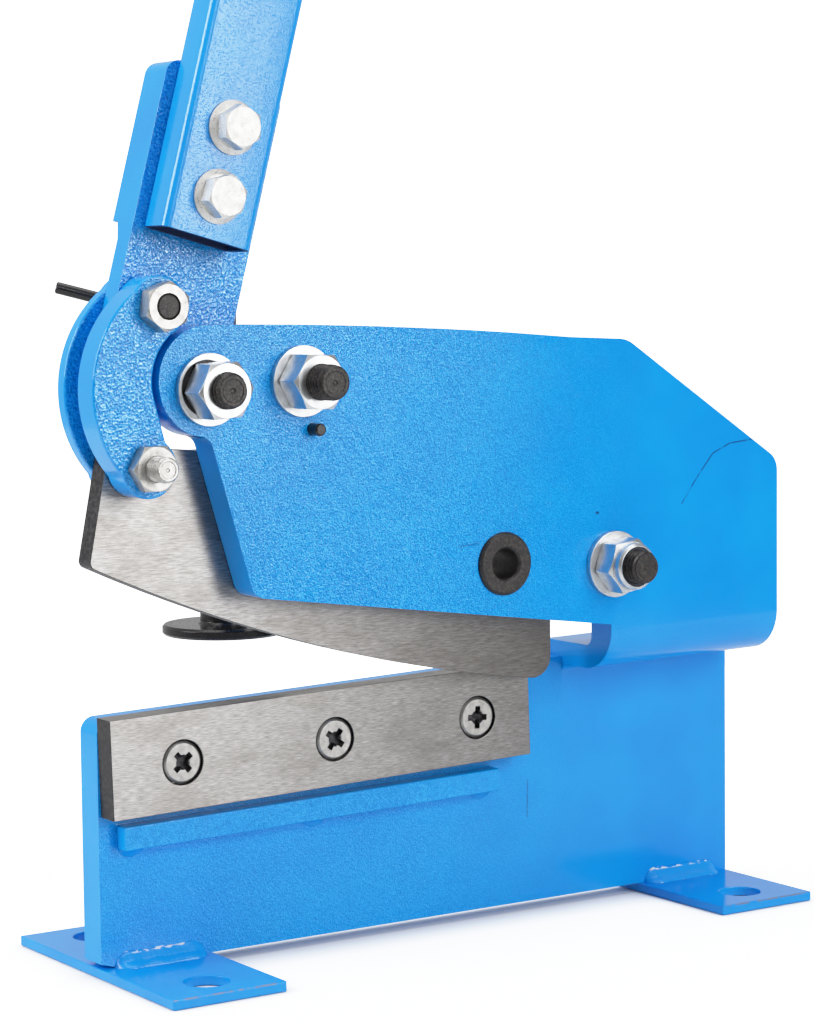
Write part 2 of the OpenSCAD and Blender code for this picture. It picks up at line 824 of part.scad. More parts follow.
// Fasteners that clamp on the upper plate
module big_bolt(at, head_y, out) {
    nut_front = washer_front - big_nut_h;
    len = head_y - nut_front + out;
    color("#2a2a2c")
        to_front(at, head_y)
            hex_bolt(big_nut_af, big_head_h, big_bolt_r, len, big_chamfer, out, big_pitch);
}
module front_washer(at) {
    color("#c9ccd0")
        to_front(at, upper_front)
            washer(big_washer_d, big_washer_t, big_hole_r);
}
module big_nut(at, spin) {
    color("#c9ccd0")
        to_front(at, washer_front)
            rotate(spin)
                nut(big_nut_af, big_nut_h, big_hole_r);
}
module lever_pivot_bolt() {
    big_bolt(lever_pivot, rear_washer_back, lever_bolt_out);
}
module lever_pivot_washer() {
    front_washer(lever_pivot);
}
module lever_pivot_rear_washer() {
    color("#c9ccd0")
        to_front(lever_pivot, rear_washer_back)
            washer(big_washer_d, big_washer_t, big_hole_r);
}
module lever_pivot_nut() {
    big_nut(lever_pivot, spin = 4);
}
module bracket_bolt() {
    big_bolt(bracket_bolt_at, bracket_back, bracket_bolt_out);
}
module bracket_washer() {
    front_washer(bracket_bolt_at);
}
module bracket_nut() {
    big_nut(bracket_bolt_at, spin = -2);
}
module bracket_pin() {
    len = bracket_back - upper_front + bracket_pin_proud;
    color("#1b1b1d")
        to_front(bracket_pin_at, bracket_back)
            shank(bracket_pin_d / 2, len, pin_chamfer);
}
module blade_pivot_bolt() {
    nut_front = washer_front - lock_nut_h - lock_collar_h;
    head_y = rear_washer_back;
    len = head_y - nut_front + blade_bolt_out;
    color("#2a2a2c")
        to_front(blade_pivot, head_y)
            hex_bolt(big_nut_af, big_head_h, big_bolt_r, len, big_chamfer, blade_bolt_out, big_pitch);
}
module blade_pivot_washer() {
    front_washer(blade_pivot);
}
module blade_pivot_rear_washer() {
    color("#c9ccd0")
        to_front(blade_pivot, rear_washer_back)
            washer(rear_washer_d, big_washer_t, big_hole_r);
}
module blade_pivot_lock_nut() {
    spin = 10;
    h = lock_nut_h + lock_collar_h;
    color("#c9ccd0")
        to_front(blade_pivot, washer_front)
            rotate(spin)
                difference() {
                    union() {
                        hex_body(big_nut_af, lock_nut_h, true, true);
                        rotate_extrude()
                            polygon([
                                [0, lock_nut_h - overlap], [collar_r, lock_nut_h - overlap],
                                [collar_r, h - rim], [collar_r - rim, h], [0, h]
                            ]);
                    }
                    translate([0, 0, -eps])
                        cylinder(h = h + 2 * eps, r = big_hole_r);
                    translate([0, 0, lock_nut_h])
                        cylinder(h = lock_collar_h + eps, r = insert_r);
                }
}
module lock_nut_insert() {
    color("#3b3d42")
        to_front(blade_pivot, washer_front - lock_nut_h)
            washer(2 * (insert_r - bolt_fit), lock_collar_h - lock_insert_below, big_hole_r);
}

// Upper blade
module blade_outline() {
    tip = [left_x + blade_tip_x, blade_tip_z];
    heel = [left_x + blade_heel_x, blade_heel_z];
    hip = [left_x + blade_hip_x, blade_top_at(blade_hip_x)];
    ear_low = blade_pivot_z - blade_ear_r;
    polygon(rounded([
        at_r(tip, blade_corner_r),
        each bowed(tip, heel, -blade_bow, edge_bow_steps),
        at_r(heel, blade_heel_r),
        [heel.x, ear_low, blade_corner_r],
        [blade_pivot.x + blade_ear_r, ear_low, blade_ear_corner_r],
        [blade_pivot.x + blade_ear_r, blade_pivot_z + blade_ear_r, blade_ear_corner_r],
        at_r(hip, blade_ear_r),
        [left_x + blade_top_x, blade_top_z, blade_corner_r]
    ]));
}
module upper_blade() {
    slot_r = big_bolt_r + slot_play_across;
    slot_half = slot_play_along - slot_play_across;
    slot_dir = [cos(slot_tilt), -sin(slot_tilt)];
    slot_at = blade_pivot - slot_drop * [sin(slot_tilt), cos(slot_tilt)];
    color("#a39b92")
        difference() {
            slab(blade_front, blade_back)
                blade_outline();
            hole_y(link_low, blade_front, blade_back, small_bolt_r + run_fit);
            hole_y(bush_at, blade_front, blade_back, rod_r + blade_hole_play);
            for (side = [-1, 1])
                hole_y(slot_at + side * slot_half * slot_dir, blade_front, blade_back, slot_r);
            slab(blade_front - eps, blade_back + eps)
                translate(slot_at)
                    rotate(-slot_tilt)
                        square([2 * slot_half, 2 * (slot_r - slot_waist)], center = true);
        }
}

// Links
module link_outline() {
    boss_mid = [left_x + boss_x + boss_r, (boss_top_z + boss_low_z) / 2];
    in_r = (boss_top_z - boss_low_z) / 2 + link_boss_gap;
    lean_dir = [sin(link_in_lean), -cos(link_in_lean)];
    lean_from = boss_mid - in_r * [cos(link_in_lean), sin(link_in_lean)];
    top_dir = unit(link_top - lever_pivot);
    low_dir = unit(link_low - lever_pivot);
    far = 3 * link_out_r;
    difference() {
        intersection() {
            translate(lever_pivot)
                circle(link_out_r);
            polygon([
                lever_pivot, lever_pivot + far * top_dir,
                lever_pivot - [far, 0], lever_pivot + far * low_dir
            ]);
        }
        translate(boss_mid)
            circle(in_r);
        polygon([boss_mid, lean_from, lean_from + far * lean_dir, boss_mid + far * lean_dir]);
    }
    for (at = [link_top, link_low])
        translate(at)
            circle(link_end_r);
}
module crescent_link(y0, y1) {
    color("#1f86d8")
        difference() {
            slab(y0, y1)
                link_outline();
            for (at = [link_top, link_low])
                hole_y(at, y0, y1, small_hole_r);
        }
}
module front_link() {
    crescent_link(front_link_front, upper_back);
}
module rear_link() {
    crescent_link(rear_seat, rear_link_back);
}
module link_bolt(at, nut_h, out, tint) {
    len = rear_link_back - front_link_front + nut_h + out;
    color(tint)
        to_front(at, rear_link_back)
            hex_bolt(small_nut_af, small_head_h, small_bolt_r, len, small_chamfer, out, small_pitch);
}
module link_nut(at, nut_h, spin) {
    color("#b9bbbd")
        to_front(at, front_link_front)
            rotate(spin)
                nut(small_nut_af, nut_h, small_hole_r);
}
module link_top_bolt() {
    link_bolt(link_top, small_nut_h, 0, "#2a2a2c");
}
module link_top_nut() {
    link_nut(link_top, small_nut_h, spin = 22);
}
module link_low_bolt() {
    link_bolt(link_low, thin_nut_h, link_bolt_out, "#c9ccd0");
}
module link_low_nut() {
    link_nut(link_low, thin_nut_h, spin = 0);
}

// Lever and handle
module lever_outline() {
    corners = [
        [-lever_left, lever_up, lever_top_r], [lever_right, lever_up, lever_top_r],
        [lever_right, -lever_down, lever_toe_r], [-lever_heel, -lever_down, lever_heel_r],
        [-lever_left, lever_hip, lever_hip_r]
    ];
    polygon(rounded([for (c = corners) at_r(on_lever(c.x, c.y), c[2])]));
}
// Section of the lever in Y and along its length, with the shoulder above its tongue
module lever_section() {
    polygon([
        [blade_front - overlap, -lever_up], [blade_back, -lever_up],
        [blade_back, tongue_up - lever_step_slope], [lever_back - lever_step, tongue_up],
        [lever_back + overlap, tongue_up], [lever_back + overlap, 2 * lever_up],
        [blade_front - overlap, 2 * lever_up]
    ]);
}
module lever_arm() {
    color("#1f86d8")
        difference() {
            intersection() {
                slab(blade_front, lever_back)
                    lever_outline();
                translate([lever_pivot.x, 0, lever_pivot.y])
                    rotate([0, lever_lean, 0])
                        rail(-2 * lever_left, 2 * lever_left)
                            lever_section();
            }
            hole_y(lever_pivot, blade_front, blade_back, big_bolt_r + run_fit);
            hole_y(link_top, blade_front, blade_back, small_bolt_r + run_fit);
            for (at = handle_bolt_ats)
                hole_y(at, blade_front, lever_back, small_hole_r);
        }
}
// A bar of the handle's section between two lengths along the lever
module handle_bar(from, to, grow, r) {
    w = handle_w + 2 * grow;
    d = handle_d + 2 * grow;
    origin = on_lever(-handle_left, from);
    translate([origin.x, blade_front - handle_d / 2, origin.y])
        rotate([0, lever_lean, 0])
            linear_extrude(to - from) {
                square([w - 2 * r, d], center = true);
                square([w, d - 2 * r], center = true);
                for (x = [-1, 1], y = [-1, 1])
                    translate([x * (w / 2 - r), y * (d / 2 - r)])
                        circle(r);
            }
}
module handle_tube() {
    color("#1f86d8")
        difference() {
            handle_bar(handle_up, handle_end, 0, handle_r);
            handle_bar(handle_up - overlap, handle_end + overlap, -handle_wall, handle_in_r);
            for (at = handle_bolt_ats)
                hole_y(at, handle_front, blade_front, small_hole_r);
        }
}
module handle_bolts() {
    spins = [12, 29];
    flange_r = handle_flange_d / 2;
    len = lever_back - handle_front + small_nut_h + handle_bolt_out;
    color("#b9bbbd")
        for (i = [0:1])
            to_back(handle_bolt_ats[i], handle_front) {
                rotate([180, 0, 0]) {
                    rotate_extrude()
                        polygon([
                            [0, 0], [flange_r, 0], [flange_r, flange_rim_t],
                            [flange_r - flange_slope_w, flange_t], [0, flange_t]
                        ]);
                    rotate(spins[i])
                        translate([0, 0, flange_t - overlap])
                            hex_body(flange_head_af, flange_head_h + overlap, true, false);
                }
                shank(small_bolt_r, len, small_chamfer, handle_bolt_out, small_pitch);
            }
}
module handle_nuts() {
    color("#b9bbbd")
        for (at = handle_bolt_ats)
            to_back(at, lever_back)
                nut(small_nut_af, small_nut_h, small_hole_r);
}
module handle_grip() {
    rib_n = floor((grip_len - 2 * grip_rib_step) / grip_rib_step);
    start = handle_end - grip_len;
    color("#1b1b1d")
        difference() {
            union() {
                handle_bar(start, handle_end + grip_cap, grip_wall, handle_r + grip_wall);
                for (i = [1:rib_n])
                    handle_bar(start + i * grip_rib_step, start + i * grip_rib_step + grip_rib_w,
                        grip_wall + grip_rib_h, handle_r + grip_wall + grip_rib_h);
            }
            handle_bar(start - overlap, handle_end, 0, handle_r);
        }
}

// Hold-down
module bracket_outline(low_left, low_right) {
    polygon(rounded([
        [left_x + bracket_x, bracket_top_z, bracket_r],
        [left_x + bracket_right_x, bracket_top_z, bracket_r],
        [left_x + bracket_right_x, low_right, 0],
        [left_x + bracket_x, low_left, 0]
    ]));
}
module hold_down_bracket() {
    arm_r = bracket_arm_w / 2;
    stop_left = blade_top_at(bracket_x) + stop_gap;
    stop_right = blade_top_at(bracket_right_x) + stop_gap;
    color("#1f86d8")
        difference() {
            union() {
                slab(upper_back, rear_seat)
                    bracket_outline(stop_left, stop_right);
                slab(rear_seat, bracket_back)
                    bracket_outline(bracket_arm_z, bracket_arm_z);
                translate([hold_at.x, hold_at.y, bracket_arm_z])
                    cylinder(h = bracket_arm_t, r = arm_r);
                translate([hold_at.x - arm_r, bracket_back - overlap, bracket_arm_z])
                    cube([bracket_arm_w, hold_at.y - bracket_back + overlap, bracket_arm_t]);
            }
            hole_y(bracket_bolt_at, upper_back, bracket_back, big_hole_r);
            hole_y(bracket_pin_at, upper_back, bracket_back, bracket_pin_d / 2 + bolt_fit);
            translate([hold_at.x, hold_at.y, bracket_arm_z - eps])
                cylinder(h = bracket_arm_t + 2 * eps, r = hold_d / 2 + run_fit);
        }
}
module hold_down_foot() {
    r = hold_foot_d / 2;
    boss_r = hold_boss_d / 2;
    color("#1b1b1d")
        translate([hold_at.x, hold_at.y, 0])
            difference() {
                rotate_extrude()
                    polygon([
                        [0, hold_foot_z], [r - rim, hold_foot_z], [r, hold_foot_z + rim],
                        [r, hold_foot_top - rim], [r - rim, hold_foot_top],
                        [boss_r + rim, hold_foot_top], [boss_r, hold_foot_top + rim],
                        [boss_r, hold_boss_top - rim], [boss_r - rim, hold_boss_top],
                        [0, hold_boss_top]
                    ]);
                translate([0, 0, hold_pin_z])
                    cylinder(h = hold_boss_top - hold_pin_z + eps, d = hold_pin_d + 2 * run_fit);
            }
}
module hold_rod_axis() {
    translate([hold_at.x, hold_at.y, hold_rod_z])
        rotate([0, 0, hold_rod_turn])
            rotate([0, 90 - hold_rod_rise, 0])
                children();
}
module hold_down_screw() {
    shoulder_z = hold_boss_top + side_gap;
    screw_len = hold_head_z - shoulder_z;
    head_r = hold_head_d / 2;
    color("#1b1b1d")
        difference() {
            translate([hold_at.x, hold_at.y, 0]) {
                translate([0, 0, hold_pin_z + side_gap])
                    cylinder(h = shoulder_z - hold_pin_z, d = hold_pin_d);
                translate([0, 0, hold_head_z])
                    mirror([0, 0, 1])
                        shank(hold_d / 2, screw_len, rim, screw_len - hold_plain_len, hold_pitch);
                translate([0, 0, hold_head_z])
                    rotate_extrude()
                        polygon([
                            [0, 0], [head_r - rim, 0], [head_r, rim], [head_r, hold_head_h - rim],
                            [head_r - rim, hold_head_h], [0, hold_head_h]
                        ]);
            }
            hold_rod_axis()
                cylinder(h = hold_head_d, d = hold_rod_d + 2 * bolt_fit);
        }
}
module hold_down_rod() {
    len = hold_rod_reach / cos(hold_rod_rise);
    color("#1b1b1d")
        hold_rod_axis()
            translate([0, 0, overlap])
                shank(hold_rod_d / 2, len - overlap, pin_chamfer);
}

frame_plate();
left_foot();
right_foot();
foot_welds();
blade_ledge();
ledge_welds();
lower_blade();
lower_blade_screws();
rod_bush();
lever_pivot_bolt();
lever_pivot_washer();
lever_pivot_rear_washer();
lever_pivot_nut();
hold_down_bracket();
bracket_bolt();
bracket_washer();
bracket_nut();
bracket_pin();
blade_pivot_bolt();
blade_pivot_washer();
blade_pivot_rear_washer();
blade_pivot_lock_nut();
lock_nut_insert();
upper_blade();
front_link();
rear_link();
link_top_bolt();
link_top_nut();
link_low_bolt();
link_low_nut();
lever_arm();
handle_tube();
handle_bolts();
handle_nuts();
handle_grip();
hold_down_foot();
hold_down_screw();
hold_down_rod();
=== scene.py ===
# Looks of a hand-lever bench shear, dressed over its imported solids.
import json
import math

import bmesh
import bpy
from mathutils import Matrix, Vector, noise

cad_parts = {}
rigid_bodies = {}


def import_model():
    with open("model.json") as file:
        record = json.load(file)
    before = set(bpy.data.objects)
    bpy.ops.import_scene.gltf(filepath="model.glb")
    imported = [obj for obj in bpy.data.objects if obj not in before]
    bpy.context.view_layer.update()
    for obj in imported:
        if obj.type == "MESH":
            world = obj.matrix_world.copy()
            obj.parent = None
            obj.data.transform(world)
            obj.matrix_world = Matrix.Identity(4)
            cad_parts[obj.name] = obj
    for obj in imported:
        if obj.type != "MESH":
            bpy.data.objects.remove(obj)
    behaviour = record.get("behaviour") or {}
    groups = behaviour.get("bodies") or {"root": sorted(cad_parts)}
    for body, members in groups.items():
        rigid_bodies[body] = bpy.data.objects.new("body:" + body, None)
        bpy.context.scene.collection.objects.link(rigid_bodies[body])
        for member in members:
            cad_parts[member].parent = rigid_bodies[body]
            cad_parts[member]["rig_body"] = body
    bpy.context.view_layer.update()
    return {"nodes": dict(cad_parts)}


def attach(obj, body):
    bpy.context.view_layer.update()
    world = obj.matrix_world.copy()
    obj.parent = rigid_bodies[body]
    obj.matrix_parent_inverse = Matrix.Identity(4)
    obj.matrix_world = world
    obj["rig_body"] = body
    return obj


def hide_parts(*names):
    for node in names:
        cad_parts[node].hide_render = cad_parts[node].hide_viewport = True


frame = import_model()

MM = 0.001
UP = Vector((0, 0, 1))
FRONT = Vector((0, -1, 0))

# Camera, as the photograph was taken
CAMERA_AT = Vector((-667.3, -991.3, 277.3)) * MM
CAMERA_AZIMUTH = 33.632
CAMERA_PITCH = 4.880
CAMERA_ROLL = -0.621
CAMERA_LENS = 100.28
SENSOR = 36.0

# Lights: name, azimuth from the front toward +X and height in degrees, distance and size in metres, light
LIGHTS = (
    ("key", 20.5, 16.5, 1.75, (0.62, 1.31), 8.2),
    ("fill", -20, 26, 1.7, (0.5, 0.7), 3.6),
    ("side", -103, 24, 1.6, (0.8, 0.9), 9.0),
    ("top", 90, 88, 1.7, (1.6, 1.6), 3.0),
)
LIGHTS_AIM = Vector((0, 0, 0.2))

# Backdrop: its direction, the cosines from it where the room ends and the backdrop begins, and their light
BACKDROP_SIDE = (0.25, 0.97, 0.0)
BACKDROP_EDGE = (-0.1, 0.3)
BACKDROP_LIGHT = 0.62
ROOM_LIGHT = 0.15

# Floor: its radius, where its fade starts and ends, the light added near the object, and its contact shade
FLOOR_REACH = 0.8
FLOOR_FADE = (0.3, 0.744)
FLOOR_LIFT = 0.95
FLOOR_DROP = 0.0002
PAPER_TONES = ((0.75, 0.76, 0.765), (0.77, 0.778, 0.785))
SHADE_REACH = 0.025
SHADE_POWER = 2.6

# Tone curve: light on the film, and the share of white that it shows
TONE_WHITE = 2.0
TONE_SHOULDER = ((0.3, 0.3), (0.6, 0.59), (0.8, 0.74), (1.0, 0.85), (1.4, 0.95))

# Edge rounding of each group of pieces, in millimetres
PLATE_EDGE = 1.2
LINK_EDGE = 0.9
STRIP_EDGE = 0.6
GRIP_EDGE = 0.5
BLADE_EDGE = 0.45
TUBE_EDGE = 0.4
BUSH_EDGE = 0.3
NUT_EDGE = 0.25
FINE_EDGE = 0.15

# Least angles of an edge that shows crisp and of one that is rounded
CRISP = math.radians(24)
ROUNDED = math.radians(32)

# Corners this close, in millimetres, become one, and faces this flat become one
SEAM = 0.002
PLATE_SEAM = 0.05
FLAT = math.radians(0.5)

# Lean of the handle from upright toward +X
HANDLE_LEAN = math.radians(15)

# Threads: radius, pitch and end chamfer in millimetres
BIG_THREAD = {"radius": 7.0, "pitch": 2.0, "chamfer": 1.2}
SMALL_THREAD = {"radius": 5.0, "pitch": 1.5, "chamfer": 0.8}

# Thread form: depth as a share of the pitch, and slope of the flanks and width of the crest
THREAD_DEPTH = 0.58
THREAD_SLOPE = 2.6
THREAD_CREST = 0.5

# Thread mesh: lap into the shank and play below the solid in millimetres, sides, and rings in a pitch
THREAD_LAP = 0.2
THREAD_PLAY = 0.02
THREAD_SIDES = 48
THREAD_ROWS = 10

# Weld beads in millimetres, and their unevenness as shares of the leg
BEAD_STEP = 0.35
BEAD_SIDES = 10
BEAD_SINK = 0.4
BEAD_TAPER = 7.0
BEAD_RIPPLE = 2.3
BEAD_BOW = 1.1
BEAD_HOLLOW = 0.34
BEAD_SCALLOP = 0.004
BEAD_WANDER, BEAD_WANDER_LENGTH = 0.1, 11.0
BEAD_LUMPS, BEAD_LUMP_LENGTH = 0.05, 6.0

# Painted shade on the lever pivot's front washer, a black patch by its nut: its shift in X and Z and its
# radius, in millimetres
WASHER_SHADE_PATCH = (-1.7, 0.7, 11.2)

# Clockwise turn of each blade screw from its solid, from left to right
SCREW_TURNS = (41, 29, -5)

# Painted shade in a screw's recess: reach from the axis, and depths where it starts and ends, in millimetres
RECESS_REACH = 4.2
RECESS_DEPTHS = (0.3, 4.0)

# Rings on a bolt's turned end, as a share of its radius and a depth in millimetres
END_RINGS = ((0.8, 0.0), (0.74, 0.3), (0.2, 0.3), (0.12, 0.7))


# Materials
class Graph:
    """The nodes of a material or of the world, with a short call for each kind in use."""

    def __init__(self, owner):
        owner.use_nodes = True
        self.tree = owner.node_tree
        self.coords = self.node("ShaderNodeTexCoord")

    def node(self, kind, **settings):
        made = self.tree.nodes.new(kind)
        for key, value in settings.items():
            setattr(made, key, value)
        return made

    def feed(self, socket, value):
        if is_socket(value):
            self.tree.links.new(value, socket)
        else:
            socket.default_value = value

    def math(self, operation, a, b=0.0):
        made = self.node("ShaderNodeMath", operation=operation)
        self.feed(made.inputs[0], a)
        self.feed(made.inputs[1], b)
        return made.outputs[0]

    def times(self, product, *factors):
        """Product of two or more values."""
        for factor in factors:
            product = self.math("MULTIPLY", product, factor)
        return product

    def vector(self, operation, a, b=(0, 0, 0), output=0):
        made = self.node("ShaderNodeVectorMath", operation=operation)
        self.feed(made.inputs[0], a)
        self.feed(made.inputs[1], b)
        return made.outputs[output]

    def remap(self, value, low, high, to_low, to_high):
        made = self.node("ShaderNodeMapRange")
        for name, given in zip(("Value", "From Min", "From Max", "To Min", "To Max"),
                               (value, low, high, to_low, to_high)):
            self.feed(made.inputs[name], given)
        return made.outputs["Result"]

    def blend(self, share, a, b):
        made = self.node("ShaderNodeMix", data_type="RGBA")
        self.feed(made.inputs[0], share)
        for socket, colour in ((made.inputs[6], a), (made.inputs[7], b)):
            self.feed(socket, colour if is_socket(colour) else (*colour, 1.0))
        return made.outputs[2]

    def axis(self, name, source="Object"):
        """One coordinate of the place on the object, or of its normal."""
        made = self.node("ShaderNodeSeparateXYZ")
        self.feed(made.inputs[0], self.coords.outputs[source])
        return made.outputs[name]

    def grain(self, size, stretch=(1, 1, 1), detail=2.0, offset=0.0):
        """Noise with features of about size millimetres, longer along an axis by its stretch."""
        mapping = self.node("ShaderNodeMapping")
        mapping.inputs["Scale"].default_value = [1 / (size * MM * s) for s in stretch]
        mapping.inputs["Location"].default_value = (offset, offset, offset)
        self.feed(mapping.inputs["Vector"], self.coords.outputs["Object"])
        made = self.node("ShaderNodeTexNoise")
        made.inputs["Scale"].default_value = 1.0
        made.inputs["Detail"].default_value = detail
        self.feed(made.inputs["Vector"], mapping.outputs["Vector"])
        return made.outputs[0]

    def bump(self, height, depth, under=None):
        """A relief of depth millimetres from a height between 0 and 1."""
        made = self.node("ShaderNodeBump")
        made.inputs["Strength"].default_value = 1.0
        made.inputs["Distance"].default_value = depth * MM
        self.feed(made.inputs["Height"], height)
        if under is not None:
            self.feed(made.inputs["Normal"], under)
        return made.outputs["Normal"]

    def line(self, points):
        """Distance in X and Z from a bent line, whose points are in millimetres."""
        flat = self.vector("MULTIPLY", self.coords.outputs["Object"], (1, 0, 1))
        nearest = None
        for (ax, az), (bx, bz) in zip(points, points[1:]):
            start = Vector((ax, 0, az)) * MM
            along = Vector((bx - ax, 0, bz - az)) * MM
            offset = self.vector("SUBTRACT", flat, tuple(start))
            share = self.vector("DOT_PRODUCT", offset, tuple(along / along.length_squared), output=1)
            share = self.remap(share, 0.0, 1.0, 0.0, 1.0)
            spread = self.node("ShaderNodeVectorMath", operation="SCALE")
            spread.inputs[0].default_value = tuple(along)
            self.feed(spread.inputs["Scale"], share)
            gap = self.vector("DISTANCE", offset, spread.outputs[0], output=1)
            nearest = gap if nearest is None else self.math("MINIMUM", nearest, gap)
        return nearest


def is_socket(value):
    """Tells an output of a node from a plain value."""
    return isinstance(value, bpy.types.NodeSocket)


class Finish(Graph):
    """A material around one principled shader."""

    def __init__(self, name, colour, roughness, metallic=0.0):
        self.material = bpy.data.materials.new(name)
        super().__init__(self.material)
        self.shader = self.tree.nodes["Principled BSDF"]
        self.set("Base Color", (*colour, 1.0))
        self.set("Roughness", roughness)
        self.set("Metallic", metallic)

    def set(self, name, value):
        self.feed(self.shader.inputs[name], value)


# Enamel: its tones, and heights in metres between which the peel grows up the frame
PAINT = (0.0035, 0.295, 0.80)
PAINT_DEEP = (0.003, 0.262, 0.74)
# Next two: the painted highlight and painted shade on the sides of the peel's blobs
PAINT_RELIEF_LIT = (0.02, 0.44, 0.96)
PAINT_RELIEF_SHADE = (0.0, 0.15, 0.48)
PAINT_WORN = (0.2, 0.17, 0.14)
PAINT_PALE_SPOT = (0.78, 0.82, 0.86)
PEEL_GROWS = (0.1, 0.125)

# Painted light and shade of the peel: shift in blobs, rise with full tone, change of gloss over a range of
# rise
RELIEF_LIGHT_SHIFT = 0.42
RELIEF_LIGHT_FULL = 0.24
GLINT_RISE = (-0.05, 0.2)
GLINT_GLOSS = (-0.6, 1.8)


def paint(name, blob, peel, tone=0.0, gloss=0.5, fade=None, low=1.0, pits=0.0, marks=(), worn=None):
    """Blue enamel with an orange-peel skin on its broad faces.

    The skin has blobs of blob millimetres, peel deep. Each blob is painted pale and glossy on its side
    facing up and toward +X and dark and dull on its other side, by the share tone: a painted highlight and
    painted shade, as if lit from above. The peel fades along X from the first to the second of fade, down to
    its third, and keeps the share low near the base. The pits are small holes, the marks are lines of
    another colour, and worn is the Y and Z of a rubbed rim.
    """
    g = Finish(name, PAINT, 0.14)
    g.set("Specular IOR Level", gloss)
    frontal = g.math("ABSOLUTE", g.axis("Y", "Normal"))
    broad = g.remap(frontal, 0.75, 0.98, 0.06, 1.0)
    if fade:
        start, end, least = fade
        broad = g.times(broad, g.remap(g.axis("X"), start * MM, end * MM, 1.0, least))
    if low < 1.0:
        broad = g.times(broad, g.remap(g.axis("Z"), *PEEL_GROWS, low, 1.0))
    height = g.grain(blob, detail=0.6)
    blobs = g.remap(height, 0.28, 0.72, 0.0, 1.0)
    skin = g.bump(g.times(blobs, broad), peel)
    if pits:
        holes = g.remap(g.grain(0.5, detail=1.0, offset=3.0), 0.56, 0.72, 0.0, 1.0)
        skin = g.bump(g.times(holes, broad), -pits, skin)
    cut = g.grain(0.8, stretch=(1, 60, 1), detail=1.0, offset=7.0)
    edge = g.remap(frontal, 0.1, 0.5, 1.0, 0.0)
    skin = g.bump(g.times(cut, edge), 0.03, skin)
    g.set("Normal", skin)
    colour = g.blend(g.remap(g.grain(38.0), 0.35, 0.65, 0.0, 1.0), PAINT, PAINT_DEEP)
    if tone:
        # Painted highlight and painted shade: each blob pale on its side facing up and toward +X, dark on
        # the other
        share = g.times(broad, tone)
        rise = g.math("SUBTRACT", height, g.grain(blob, detail=0.6, offset=RELIEF_LIGHT_SHIFT))
        rise = g.times(rise, share)
        colour = g.blend(g.remap(rise, 0.0, RELIEF_LIGHT_FULL, 0.0, 1.0), colour, PAINT_RELIEF_LIT)
        colour = g.blend(g.remap(rise, 0.0, -RELIEF_LIGHT_FULL, 0.0, 1.0), colour, PAINT_RELIEF_SHADE)
        glint = g.times(g.remap(rise, *GLINT_RISE, *GLINT_GLOSS), share)
        g.set("Specular IOR Level", g.times(g.math("ADD", glint, 1.0), gloss))
    for points, width, tint, strength, plane in marks:
        near = g.remap(g.line(points), 0.35 * width * MM, 0.75 * width * MM, strength, 0.0)
        front = g.remap(g.axis("Y"), (plane + 1) * MM, (plane + 2) * MM, 1.0, 0.0)
        broken = g.remap(g.grain(2.4, offset=11.0), 0.34, 0.5, 0.3, 1.0)
        colour = g.blend(g.times(near, front, broken), colour, tint)
    if worn:
        rim_y, rim_z = worn
        out = g.math("ABSOLUTE", g.axis("Y"))
        rim = g.remap(out, (rim_y - 0.7) * MM, (rim_y - 0.3) * MM, 0.0, 1.0)
        top = g.remap(g.axis("Z"), (rim_z - 0.8) * MM, (rim_z - 0.4) * MM, 0.0, 1.0)
        rub = g.remap(g.grain(3.0, detail=4.0, offset=6.0), 0.42, 0.6, 0.0, 0.75)
        colour = g.blend(g.times(rim, top, rub), colour, PAINT_WORN)
    g.set("Base Color", colour)
    g.set("Roughness", g.remap(g.grain(9.0), 0.3, 0.7, 0.11, 0.17))
    return g.material


def weld_paint(name, pale_edge_z=None):
    """Enamel over a weld, with pale, rougher spots along the bead's upper edge at the height its second
    argument gives.
    """
    g = Finish(name, PAINT, 0.24)
    g.set("Normal", g.bump(g.grain(1.3, detail=2.0), 0.04))
    if pale_edge_z:
        line = g.remap(g.axis("Z"), (pale_edge_z - 1.2) * MM, (pale_edge_z - 0.6) * MM, 0.0, 1.0)
        spots = g.grain(1.6, stretch=(2.5, 1, 1), detail=4.0, offset=5.0)
        pale_spots = g.times(line, g.remap(spots, 0.52, 0.58, 0.0, 1.0))
        g.set("Base Color", g.blend(pale_spots, PAINT, PAINT_PALE_SPOT))
        g.set("Roughness", g.remap(pale_spots, 0.0, 1.0, 0.24, 0.6))
    return g.material


# Blade steel: its ground lines, dark streaks, stains, tarnish with painted shade, and specks
STEEL_LINES = ((0.172, 0.164, 0.158), (0.36, 0.35, 0.34))
STEEL_STREAK = (0.12, 0.113, 0.107)
STEEL_STAIN = (0.13, 0.118, 0.106)
STEEL_TARNISH_AND_SHADE = (0.07, 0.061, 0.053)
STEEL_SPECK = (0.05, 0.047, 0.045)

# Scale, oxide and zinc
SCALE_TONES = ((0.013, 0.0125, 0.015), (0.06, 0.058, 0.06))
OXIDE = (0.022, 0.021, 0.022)
OXIDE_RUBBED = (0.12, 0.1, 0.085)
ZINC_PIT = (0.13, 0.13, 0.125)
# Black of the painted shade beside the lever pivot's nut
PATCH_SHADE = (0.008, 0.008, 0.009)
BRIGHT_ZINC = {"colour": (0.66, 0.67, 0.68), "shade": (0.54, 0.555, 0.57), "roughness": 0.3, "grit": 0.3}


